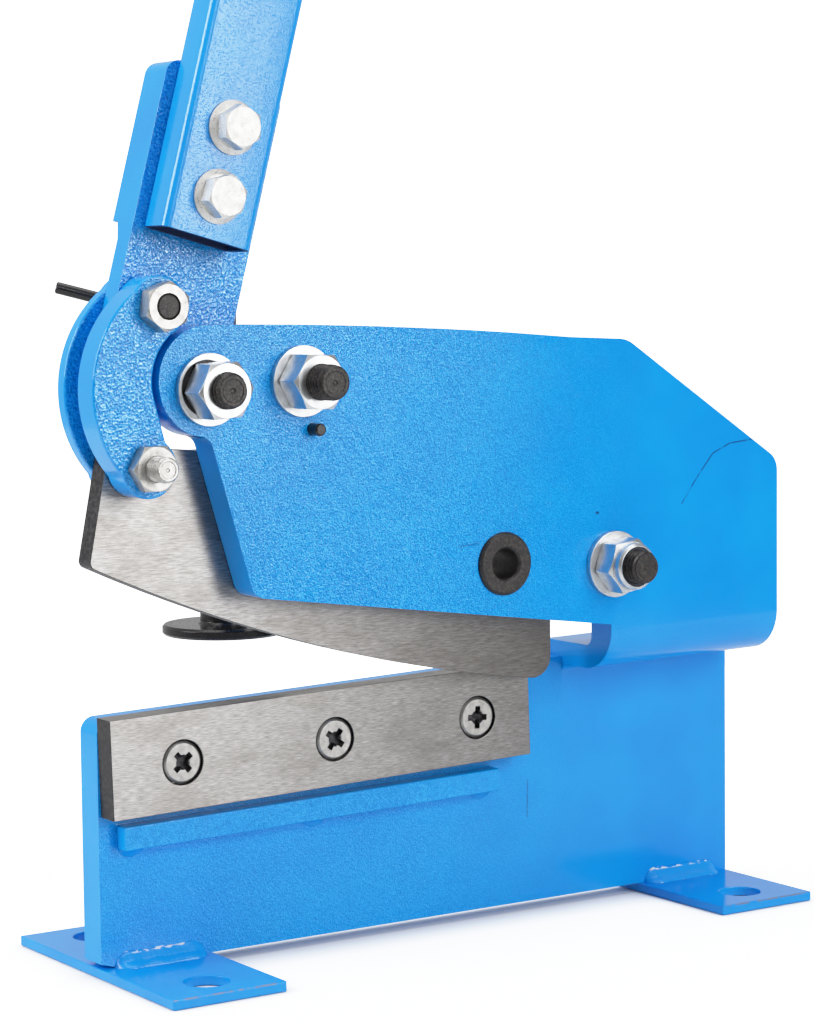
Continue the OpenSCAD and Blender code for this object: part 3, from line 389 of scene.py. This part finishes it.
def ground_steel(name, tarnish_and_shade=None):
    """Bare tool steel with grinding lines along the blade, stains and fine specks.

    It grows browner and darker along X by its second argument, partly tarnish and partly painted shade where
    the blade lies below the upper plate: where that starts and ends, in millimetres, and its share.
    """
    g = Finish(name, STEEL_LINES[1], 0.35, 1.0)
    lines = g.grain(0.3, stretch=(12, 3, 1), detail=3.0)
    wide = g.grain(0.8, stretch=(9, 3, 1), detail=3.0, offset=4.0)
    stains = g.grain(11.0, stretch=(2.2, 1, 1), detail=6.0, offset=9.0)
    specks = g.remap(g.grain(0.5, detail=2.0, offset=2.0), 0.64, 0.74, 0.0, 0.55)
    tone = g.blend(g.remap(lines, 0.3, 0.7, 0.0, 1.0), *STEEL_LINES)
    tone = g.blend(g.remap(wide, 0.35, 0.62, 0.28, 0.0), tone, STEEL_STREAK)
    tone = g.blend(g.remap(stains, 0.46, 0.7, 0.0, 0.4), tone, STEEL_STAIN)
    # Browner and darker toward +X: partly tarnish, partly painted shade
    if tarnish_and_shade:
        start, end, most = tarnish_and_shade
        tone = g.blend(g.remap(g.axis("X"), start * MM, end * MM, 0.0, most), tone, STEEL_TARNISH_AND_SHADE)
    g.set("Base Color", g.blend(specks, tone, STEEL_SPECK))
    g.set("Roughness", g.remap(wide, 0.3, 0.7, 0.31, 0.39))
    g.set("Normal", g.bump(lines, 0.012, g.bump(g.grain(0.6, offset=6.0), 0.006)))
    g.set("Anisotropic", 0.8)
    g.set("Anisotropic Rotation", 0.25)
    g.set("Tangent", g.node("ShaderNodeTangent", direction_type="RADIAL", axis="Z").outputs[0])
    return g.material


def scaled_steel(name):
    """Dark mill scale on the blades' cut ends and edges."""
    g = Finish(name, SCALE_TONES[0], 0.46, 0.55)
    patches = g.remap(g.grain(1.6, detail=4.0), 0.42, 0.64, 0.0, 1.0)
    g.set("Base Color", g.blend(patches, *SCALE_TONES))
    g.set("Roughness", g.remap(patches, 0.0, 1.0, 0.4, 0.58))
    g.set("Normal", g.bump(g.grain(0.8, detail=3.0), 0.05))
    return g.material


def zinc(name, colour, shade, roughness, grit, patch=None):
    """Zinc plating: clouded tone, small pits, and a roughness that wanders.

    The patch, as X, Z and radius in millimetres, is black: painted shade beside a nut.
    """
    g = Finish(name, colour, roughness, 1.0)
    clouds = g.remap(g.grain(3.0, detail=3.0), 0.35, 0.7, 0.0, 1.0)
    pits = g.remap(g.grain(0.6, detail=3.0, offset=8.0), 0.6, 0.72, 0.0, grit)
    tone = g.blend(pits, g.blend(clouds, colour, shade), ZINC_PIT)
    if patch:
        x, z, radius = patch
        # Painted shade: a black disc beside the nut
        shade_patch = g.remap(g.line([(x, z), (x + 0.1, z)]), (radius - 0.4) * MM, radius * MM, 0.97, 0.0)
        tone = g.blend(shade_patch, tone, PATCH_SHADE)
    g.set("Base Color", tone)
    g.set("Roughness", g.remap(clouds, 0.0, 1.0, roughness, roughness + 0.1))
    g.set("Normal", g.bump(g.grain(0.5, detail=2.0, offset=2.0), 0.008 + 0.03 * grit))
    return g.material


def black_oxide(name, rub, roughness=0.36):
    """Black oxide on steel, rubbed brown where it was handled."""
    g = Finish(name, OXIDE, roughness, 0.45)
    rubbed = g.remap(g.grain(0.9, detail=5.0), 0.45, 0.75, 0.0, rub)
    g.set("Base Color", g.blend(rubbed, OXIDE, OXIDE_RUBBED))
    worn = g.grain(1.0, detail=3.0, offset=4.0)
    g.set("Roughness", g.remap(worn, 0.3, 0.7, roughness, roughness + 0.16))
    g.set("Normal", g.bump(g.grain(0.5, detail=2.0), 0.05 * roughness))
    return g.material


def moulded(name, colour, roughness, relief):
    """Plain nylon, rubber, or the near-black painted shade inside the handle tube, with a fine matt skin, a
    little dusty.
    """
    g = Finish(name, colour, roughness)
    dust = g.remap(g.grain(6.0, detail=4.0), 0.45, 0.75, 0.0, 0.35)
    g.set("Base Color", g.blend(dust, colour, tuple(2.2 * c for c in colour)))
    g.set("Roughness", g.remap(g.grain(2.0), 0.3, 0.7, roughness - 0.06, roughness + 0.08))
    g.set("Normal", g.bump(g.grain(0.45, detail=2.0), relief))
    return g.material


# Marks on the frame: points in X and Z, width, tint, strength, and the plane along Y
UPPER_PLANE = -42.5
BASE_PLANE = -7.0
MARK_BLUE = (0.008, 0.05, 0.16)
MARK_BLACK = (0.01, 0.012, 0.02)
FRAME_MARKS = (
    ([(105.4, 175.9), (113.7, 186.6), (122.6, 196.6), (132.1, 200.5), (144.6, 201.7)],
     0.55, MARK_BLUE, 0.9, UPPER_PLANE),
    ([(-10.5, 164.4), (-1.2, 165.2)], 0.6, MARK_BLUE, 0.5, UPPER_PLANE),
    ([(59.4, 174.2), (60.0, 174.2)], 1.1, MARK_BLACK, 1.0, UPPER_PLANE),
    ([(48.0, 41.0), (48.4, 57.0)], 0.6, MARK_BLUE, 0.55, BASE_PLANE),
)

FINISH = {
    "blue_paint": paint("enamel", blob=0.84, peel=0.14, tone=0.66, gloss=0.6),
    "frame_paint": paint("enamel_frame", blob=0.6, peel=0.05, tone=0.8, gloss=0.34,
                         fade=(-10, 90, 0.03), low=0.6, marks=FRAME_MARKS),
    "foot_paint": paint("enamel_foot", blob=0.62, peel=0.02, gloss=0.4, worn=(65.0, 4.0)),
    "handle_paint": paint("enamel_handle", blob=0.6, peel=0.02, gloss=0.62, pits=0.05),
    "foot_weld": weld_paint("enamel_weld", pale_edge_z=10.0),
    "ledge_weld": weld_paint("enamel_bead"),
    "blade_steel": ground_steel("ground_steel"),
    "brown_steel": ground_steel("tarnished_shaded_steel", tarnish_and_shade=(-90, 40, 0.55)),
    "blade_scale": scaled_steel("scaled_steel"),
    "bright_zinc": zinc("bright_zinc", **BRIGHT_ZINC),
    "dull_zinc": zinc("dull_zinc", (0.54, 0.53, 0.51), (0.4, 0.39, 0.37), roughness=0.36, grit=0.9),
    "matt_zinc": zinc("matt_zinc", (0.78, 0.775, 0.75), (0.66, 0.65, 0.63), roughness=0.5, grit=0.9),
    "screw_zinc": zinc("screw_zinc", (0.42, 0.41, 0.39), (0.3, 0.29, 0.28), roughness=0.38, grit=0.7),
    "black_steel": black_oxide("black_oxide", rub=0.4),
    "rubbed_steel": black_oxide("rubbed_oxide", rub=0.6),
    "polished_black": black_oxide("polished_oxide", rub=0.12, roughness=0.13),
    "tube_inside_painted_shade": moulded("tube_inside_painted_shade", (0.003, 0.016, 0.07), roughness=0.5, relief=0.02),
    "nylon": moulded("nylon", (0.02, 0.024, 0.04), roughness=0.42, relief=0.01),
    "black_rubber": moulded("rubber", (0.011, 0.011, 0.0115), roughness=0.62, relief=0.05),
}


# Pieces
def add_object(name, bm):
    """An object in the scene from a mesh that is being built."""
    mesh = bpy.data.meshes.new(name)
    bm.to_mesh(mesh)
    bm.free()
    if "custom_normal" in mesh.attributes:
        mesh.attributes.remove(mesh.attributes["custom_normal"])
    made = bpy.data.objects.new(name, mesh)
    bpy.context.scene.collection.objects.link(made)
    return made


def joined(node, seam=SEAM):
    """A node's mesh with its shared corners joined."""
    bm = bmesh.new()
    bm.from_mesh(frame["nodes"][node].data)
    bmesh.ops.remove_doubles(bm, verts=bm.verts, dist=seam * MM)
    return bm


def solid_of(node, seam=SEAM):
    """A node's mesh with its flat triangles made one face and its edges marked."""
    bm = joined(node, seam)
    bmesh.ops.dissolve_limit(bm, angle_limit=FLAT, verts=bm.verts, edges=bm.edges)
    for face in bm.faces:
        face.smooth = True
        face.material_index = 0
    for edge in bm.edges:
        edge.smooth = edge.calc_face_angle(0.0) < CRISP
    bm.normal_update()
    return bm


def islands(node):
    """Box of each solid in a node, from left to right."""
    bm = joined(node)
    boxes = []
    left = set(bm.verts)
    while left:
        heap = [left.pop()]
        seen = []
        while heap:
            vert = heap.pop()
            seen.append(vert.co.copy())
            for edge in vert.link_edges:
                other = edge.other_vert(vert)
                if other in left:
                    left.remove(other)
                    heap.append(other)
        boxes.append((Vector(map(min, *seen)), Vector(map(max, *seen))))
    bm.free()
    return sorted(boxes, key=lambda box: (box[0].x, box[0].y))


def round_edges(piece, edge, segments=3):
    """Rounds a piece's sharp edges over edge millimetres."""
    made = piece.modifiers.new("rounded_edges", "BEVEL")
    made.width = edge * MM
    made.segments = segments
    made.limit_method = "ANGLE"
    made.angle_limit = ROUNDED
    made.harden_normals = True
    made.miter_outer = "MITER_ARC"


def dress(piece, node, slot, *finishes):
    """Gives a piece its finish and lets it stand for its node."""
    for finish in finishes or (slot,):
        piece.data.materials.append(FINISH[finish])
    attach(piece, frame["nodes"][node]["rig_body"])
    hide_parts(node)
    return piece


def plain(node, slot, edge, *finishes, seam=SEAM):
    """A node's own solid with rounded edges."""
    piece = add_object(f"{node}_finish", solid_of(node, seam))
    round_edges(piece, edge)
    return dress(piece, node, slot, *finishes)


def blade(node, finish="blade_steel"):
    """A blade with ground faces and upper edge, and dark scale on its ends and lower edge."""
    bm = solid_of(node)
    for face in bm.faces:
        across = abs(face.normal.y) < 0.5
        upward = face.normal.z >= 0.6
        if across and not upward:
            face.material_index = 1
    piece = add_object(f"{node}_finish", bm)
    round_edges(piece, BLADE_EDGE)
    return dress(piece, node, "blade_steel", finish, "blade_scale")


def recessed_screws(node):
    """Screws with painted shade in their cross recesses, each turned about its axis."""
    boxes = islands(node)
    bm = solid_of(node)
    start, end = (depth * MM for depth in RECESS_DEPTHS)
    for face in bm.faces:
        at = face.calc_center_median()
        low, high = min(boxes, key=lambda box: abs((box[0].x + box[1].x) / 2 - at.x))
        middle = (low + high) / 2
        spoke = Vector((at.x - middle.x, 0, at.z - middle.z))
        # Painted shade: faces inside the recess get the dark scale finish
        if spoke.length < RECESS_REACH * MM and start < at.y - low.y < end:
            face.material_index = 1
    margin = 0.5 * MM
    for (low, high), turn in zip(boxes, SCREW_TURNS):
        screw = [vert for vert in bm.verts if low.x - margin < vert.co.x < high.x + margin]
        spin = Matrix.Rotation(math.radians(turn), 3, "Y")
        bmesh.ops.rotate(bm, cent=(low + high) / 2, matrix=spin, verts=screw)
    piece = add_object(f"{node}_finish", bm)
    round_edges(piece, FINE_EDGE)
    return dress(piece, node, "dull_zinc", "screw_zinc", "blade_scale")


def washer_with_painted_shade(node):
    """A washer with a black patch of painted shade beside its nut."""
    low, high = islands(node)[0]
    middle = (low + high) / 2 / MM
    x, z, radius = WASHER_SHADE_PATCH
    patch = (middle.x + x, middle.z + z, radius)
    FINISH["oily_zinc"] = zinc("oily_zinc", **BRIGHT_ZINC, patch=patch)
    return plain(node, "bright_zinc", NUT_EDGE, "oily_zinc")


def tube(node):
    """The handle tube, painted blue outside, with near-black painted shade on its inside faces."""
    low, high = islands(node)[0]
    middle = (low + high) / 2
    along = Vector((math.sin(HANDLE_LEAN), 0, math.cos(HANDLE_LEAN)))
    bm = solid_of(node)
    for face in bm.faces:
        spoke = face.calc_center_median() - middle
        spoke -= along * spoke.dot(along)
        # Inside faces take the near-black painted shade
        if face.normal.dot(spoke) < 0:
            face.material_index = 1
    piece = add_object(f"{node}_finish", bm)
    round_edges(piece, TUBE_EDGE)
    return dress(piece, node, "blue_paint", "handle_paint", "tube_inside_painted_shade")


def ridge(phase):
    """Depth of a thread's flank, from 0 at the crest to 1 at the root."""
    return min(1.0, max(0.0, THREAD_SLOPE * (1 - abs(2 * phase - 1)) - THREAD_CREST))


def add_ring(bm, place, radii, along):
    """Corners round the Z axis of place, one for each radius, at the height along."""
    corners = []
    for j, radius in enumerate(radii):
        angle = 2 * math.pi * j / len(radii)
        corner = Vector((radius * math.cos(angle), radius * math.sin(angle), along)) * MM
        corners.append(bm.verts.new(place @ corner))
    return corners


def add_skin(bm, rings, smooth):
    """Faces from each ring of corners to the next."""
    for low, high in zip(rings, rings[1:]):
        for j in range(len(low)):
            k = (j + 1) % len(low)
            bm.faces.new((low[j], low[k], high[k], high[j])).smooth = smooth


def add_thread(bm, place, length, radius, pitch, chamfer):
    """A closed threaded stud along +Z of place, with a chamfered and turned end."""
    radius -= THREAD_PLAY
    rows = math.ceil(length / pitch * THREAD_ROWS)
    rings = []
    for i in range(rows + 1):
        along = length * i / rows
        limit = radius - max(0.0, along - (length - chamfer))
        depth = THREAD_DEPTH * pitch * min(1.0, along / pitch)
        phases = [(along / pitch - j / THREAD_SIDES) % 1.0 for j in range(THREAD_SIDES)]
        radii = [min(limit, radius - depth * ridge(phase)) for phase in phases]
        rings.append(add_ring(bm, place, radii, along))
    end = [rings[-1]]
    for share, depth in END_RINGS:
        end.append(add_ring(bm, place, [share * (radius - chamfer)] * THREAD_SIDES, length - depth))
    add_skin(bm, rings, smooth=True)
    add_skin(bm, end, smooth=False)
    bm.faces.new(reversed(rings[0]))
    bm.faces.new(end[-1])


def facing(at, direction):
    """A frame at a point, whose Z axis is along direction."""
    return Matrix.Translation(at) @ direction.to_track_quat("Z", "Y").to_matrix().to_4x4()


def bolt(node, slot, finish, thread, out, toward):
    """A bolt: its own head and shank, and a helical thread on the last out millimetres."""
    boxes = islands(node)
    bm = solid_of(node)
    if toward.y < 0:
        end = min(low.y for low, high in boxes)
    else:
        end = max(high.y for low, high in boxes)
    cut = Vector((0, end, 0)) - toward * out * MM
    geometry = bm.verts[:] + bm.edges[:] + bm.faces[:]
    bmesh.ops.bisect_plane(bm, geom=geometry, plane_co=cut, plane_no=toward, clear_outer=True)
    bmesh.ops.holes_fill(bm, edges=[edge for edge in bm.edges if edge.is_boundary])
    for low, high in boxes:
        middle = (low + high) / 2
        at = Vector((middle.x, cut.y, middle.z)) - toward * THREAD_LAP * MM
        add_thread(bm, facing(at, toward), out + THREAD_LAP, **thread)
    piece = add_object(f"{node}_finish", bm)
    round_edges(piece, NUT_EDGE, segments=2)
    return dress(piece, node, slot, finish)


def add_bead(bm, start, end, out, up, leg, seed):
    """A rippled weld bead along the corner from start to end, between directions out and up."""
    length = (end - start).length / MM
    along = (end - start).normalized()
    rows = round(length / BEAD_STEP)
    rings = []
    for i in range(rows + 1):
        s = length * i / rows
        edge = min(1.0, min(s, length - s) / BEAD_TAPER)
        body = math.sqrt(max(0.0, 1 - (1 - edge) ** 2))
        wander = BEAD_WANDER * noise.noise(Vector((s / BEAD_WANDER_LENGTH, seed, 0)))
        corner = start + (along * s - (out + up) * BEAD_SINK) * MM
        ring = [corner]
        for j in range(BEAD_SIDES + 1):
            angle = math.pi / 2 * j / BEAD_SIDES
            bow = BEAD_BOW * (angle - math.pi / 4) ** 2
            scallop = BEAD_SCALLOP * math.sin(2 * math.pi * (s + bow) / BEAD_RIPPLE)
            lumps = BEAD_LUMPS * noise.noise(Vector((s / BEAD_LUMP_LENGTH, 2 * angle, seed)))
            swell = 1 - BEAD_HOLLOW * math.sin(2 * angle)
            r = BEAD_SINK + leg * body * swell * (1 + wander + scallop + lumps)
            ring.append(corner + (out * math.cos(angle) + up * math.sin(angle)) * r * MM)
        rings.append([bm.verts.new(point) for point in ring])
    add_skin(bm, rings, smooth=True)
    bm.faces.new(reversed(rings[0]))
    bm.faces.new(rings[-1])


def weld_seams(node, corner_of, leg, finish):
    """A bead in place of each solid of a weld, in the corner that corner_of finds from its box."""
    bm = bmesh.new()
    for i, box in enumerate(islands(node)):
        start, end, out, up = corner_of(*box)
        add_bead(bm, start, end, out, up, leg, seed=5.3 * i + 1.7)
    bmesh.ops.recalc_face_normals(bm, faces=bm.faces)
    return dress(add_object(f"{node}_finish", bm), node, "blue_paint", finish)


def foot_corner(low, high):
    """Corner between the plate and the top of a foot: its ends, and the directions out and up."""
    front = high.y < 0
    y = high.y if front else low.y
    out = FRONT if front else -FRONT
    return Vector((low.x, y, low.z)), Vector((high.x, y, low.z)), out, UP


def ledge_corner(low, high):
    """Corner between the plate and the underside of the ledge, in the same form."""
    return Vector((low.x, high.y, high.z)), high, FRONT, -UP


def build_pieces():
    """A dressed piece for each node."""
    plain("frame_plate", "blue_paint", PLATE_EDGE, "frame_paint", seam=PLATE_SEAM)
    plain("blade_ledge", "blue_paint", STRIP_EDGE, "frame_paint")
    for node in ("left_foot", "right_foot"):
        plain(node, "blue_paint", STRIP_EDGE, "foot_paint")
    weld_seams("foot_welds", foot_corner, leg=6.4, finish="foot_weld")
    weld_seams("ledge_welds", ledge_corner, leg=4.4, finish="ledge_weld")
    blade("lower_blade")
    blade("upper_blade", "brown_steel")
    recessed_screws("lower_blade_screws")
    plain("rod_bush", "black_steel", BUSH_EDGE)
    plain("bracket_pin", "black_steel", FINE_EDGE, "polished_black")
    for node in ("front_link", "rear_link", "lever_arm", "hold_down_bracket"):
        plain(node, "blue_paint", LINK_EDGE)
    tube("handle_tube")
    for node in ("lever_pivot_nut", "bracket_nut", "blade_pivot_lock_nut"):
        plain(node, "bright_zinc", NUT_EDGE)
    washer_with_painted_shade("lever_pivot_washer")
    for place in ("bracket", "blade_pivot"):
        plain(f"{place}_washer", "bright_zinc", NUT_EDGE)
    for place in ("lever_pivot", "blade_pivot"):
        plain(f"{place}_rear_washer", "bright_zinc", NUT_EDGE)
    for node in ("link_top_nut", "link_low_nut", "handle_nuts"):
        plain(node, "dull_zinc", NUT_EDGE)
    plain("lock_nut_insert", "nylon", FINE_EDGE)
    bolt("lever_pivot_bolt", "black_steel", "rubbed_steel", BIG_THREAD, out=10.0, toward=FRONT)
    bolt("bracket_bolt", "black_steel", "rubbed_steel", BIG_THREAD, out=15.0, toward=FRONT)
    bolt("blade_pivot_bolt", "black_steel", "rubbed_steel", BIG_THREAD, out=10.0, toward=FRONT)
    plain("link_top_bolt", "black_steel", NUT_EDGE)
    bolt("link_low_bolt", "dull_zinc", "dull_zinc", SMALL_THREAD, out=12.0, toward=FRONT)
    bolt("handle_bolts", "dull_zinc", "matt_zinc", SMALL_THREAD, out=6.0, toward=-FRONT)
    plain("handle_grip", "black_rubber", GRIP_EDGE)
    for node in ("hold_down_foot", "hold_down_screw", "hold_down_rod"):
        plain(node, "black_steel", FINE_EDGE, "polished_black")


# Stage
def add_camera():
    """The camera of the photograph."""
    azimuth, pitch, roll = map(math.radians, (CAMERA_AZIMUTH, CAMERA_PITCH, CAMERA_ROLL))
    level = Vector((math.sin(azimuth), math.cos(azimuth), 0))
    ahead = level * math.cos(pitch) - UP * math.sin(pitch)
    right = Vector((math.cos(azimuth), -math.sin(azimuth), 0))
    over = right.cross(ahead)
    turned = math.cos(roll) * right + math.sin(roll) * over
    risen = -math.sin(roll) * right + math.cos(roll) * over
    data = bpy.data.cameras.new("camera")
    data.sensor_width = SENSOR
    data.sensor_height = SENSOR
    data.lens = CAMERA_LENS
    data.clip_start = 0.05
    made = bpy.data.objects.new("camera", data)
    bpy.context.scene.collection.objects.link(made)
    axes = Matrix((turned, risen, -ahead)).transposed()
    made.matrix_world = Matrix.Translation(CAMERA_AT) @ axes.to_4x4()
    bpy.context.scene.camera = made


def add_light(name, at, size, radiance):
    """A soft panel that faces the object and shines radiance over its whole face."""
    data = bpy.data.lights.new(name, "AREA")
    data.shape = "RECTANGLE"
    data.size, data.size_y = size
    data.energy = radiance * math.pi * size[0] * size[1]
    made = bpy.data.objects.new(name, data)
    bpy.context.scene.collection.objects.link(made)
    made.location = at
    made.rotation_mode = "QUATERNION"
    made.rotation_quaternion = (LIGHTS_AIM - at).to_track_quat("-Z", "Y")


def add_world():
    """White for the camera; for light, a white backdrop behind the object and a dim room before it."""
    world = bpy.data.worlds.new("studio")
    g = Graph(world)
    behind = g.vector("DOT_PRODUCT", g.coords.outputs["Generated"], BACKDROP_SIDE, output=1)
    room = g.remap(behind, *BACKDROP_EDGE, ROOM_LIGHT, BACKDROP_LIGHT)
    seen = g.node("ShaderNodeLightPath").outputs["Is Camera Ray"]
    g.feed(g.tree.nodes["Background"].inputs["Strength"], g.remap(seen, 0.0, 1.0, room, TONE_WHITE))
    g.feed(g.tree.nodes["Background"].inputs["Color"], (1, 1, 1, 1))
    bpy.context.scene.world = world


def add_floor():
    """White paper, which the camera sees fade into the backdrop away from the object."""
    bm = bmesh.new()
    bmesh.ops.create_circle(bm, cap_ends=True, radius=FLOOR_REACH, segments=96)
    floor = add_object("floor", bm)
    floor.location.z = -FLOOR_DROP
    g = Finish("floor_paper", PAPER_TONES[0], 0.6)
    g.set("Base Color", g.blend(g.grain(60.0, detail=3.0), *PAPER_TONES))
    g.set("Normal", g.bump(g.grain(3.0), 0.02))
    away = g.vector("LENGTH", g.coords.outputs["Object"], output=1)
    seen = g.node("ShaderNodeLightPath").outputs["Is Camera Ray"]
    glow = g.remap(away, *FLOOR_FADE, FLOOR_LIFT, TONE_WHITE)
    shade = g.node("ShaderNodeAmbientOcclusion", samples=8)
    shade.inputs["Distance"].default_value = SHADE_REACH
    open_sky = g.math("POWER", shade.outputs["AO"], SHADE_POWER)
    g.set("Emission Color", (1, 1, 1, 1))
    g.set("Emission Strength", g.times(glow, open_sky, seen))
    floor.data.materials.append(g.material)


def set_tone():
    """A film-like shoulder, which keeps bright paint and metal short of plain white."""
    view = bpy.context.scene.view_settings
    view.view_transform = "Standard"
    view.use_curve_mapping = True
    mapping = view.curve_mapping
    mapping.white_level = (TONE_WHITE,) * 3
    points = mapping.curves[3].points
    for light, shown in TONE_SHOULDER:
        points.new(light / TONE_WHITE, shown)
    mapping.update()


def build_stage():
    """The camera, backdrop, floor, lights and tone of the photograph."""
    add_camera()
    add_world()
    add_floor()
    for name, azimuth, height, distance, size, radiance in LIGHTS:
        turn, rise = math.radians(azimuth), math.radians(height)
        level = Vector((math.sin(turn), -math.cos(turn), 0))
        toward = level * math.cos(rise) + UP * math.sin(rise)
        add_light(name, LIGHTS_AIM + distance * toward, size, radiance)
    set_tone()


build_pieces()
build_stage()
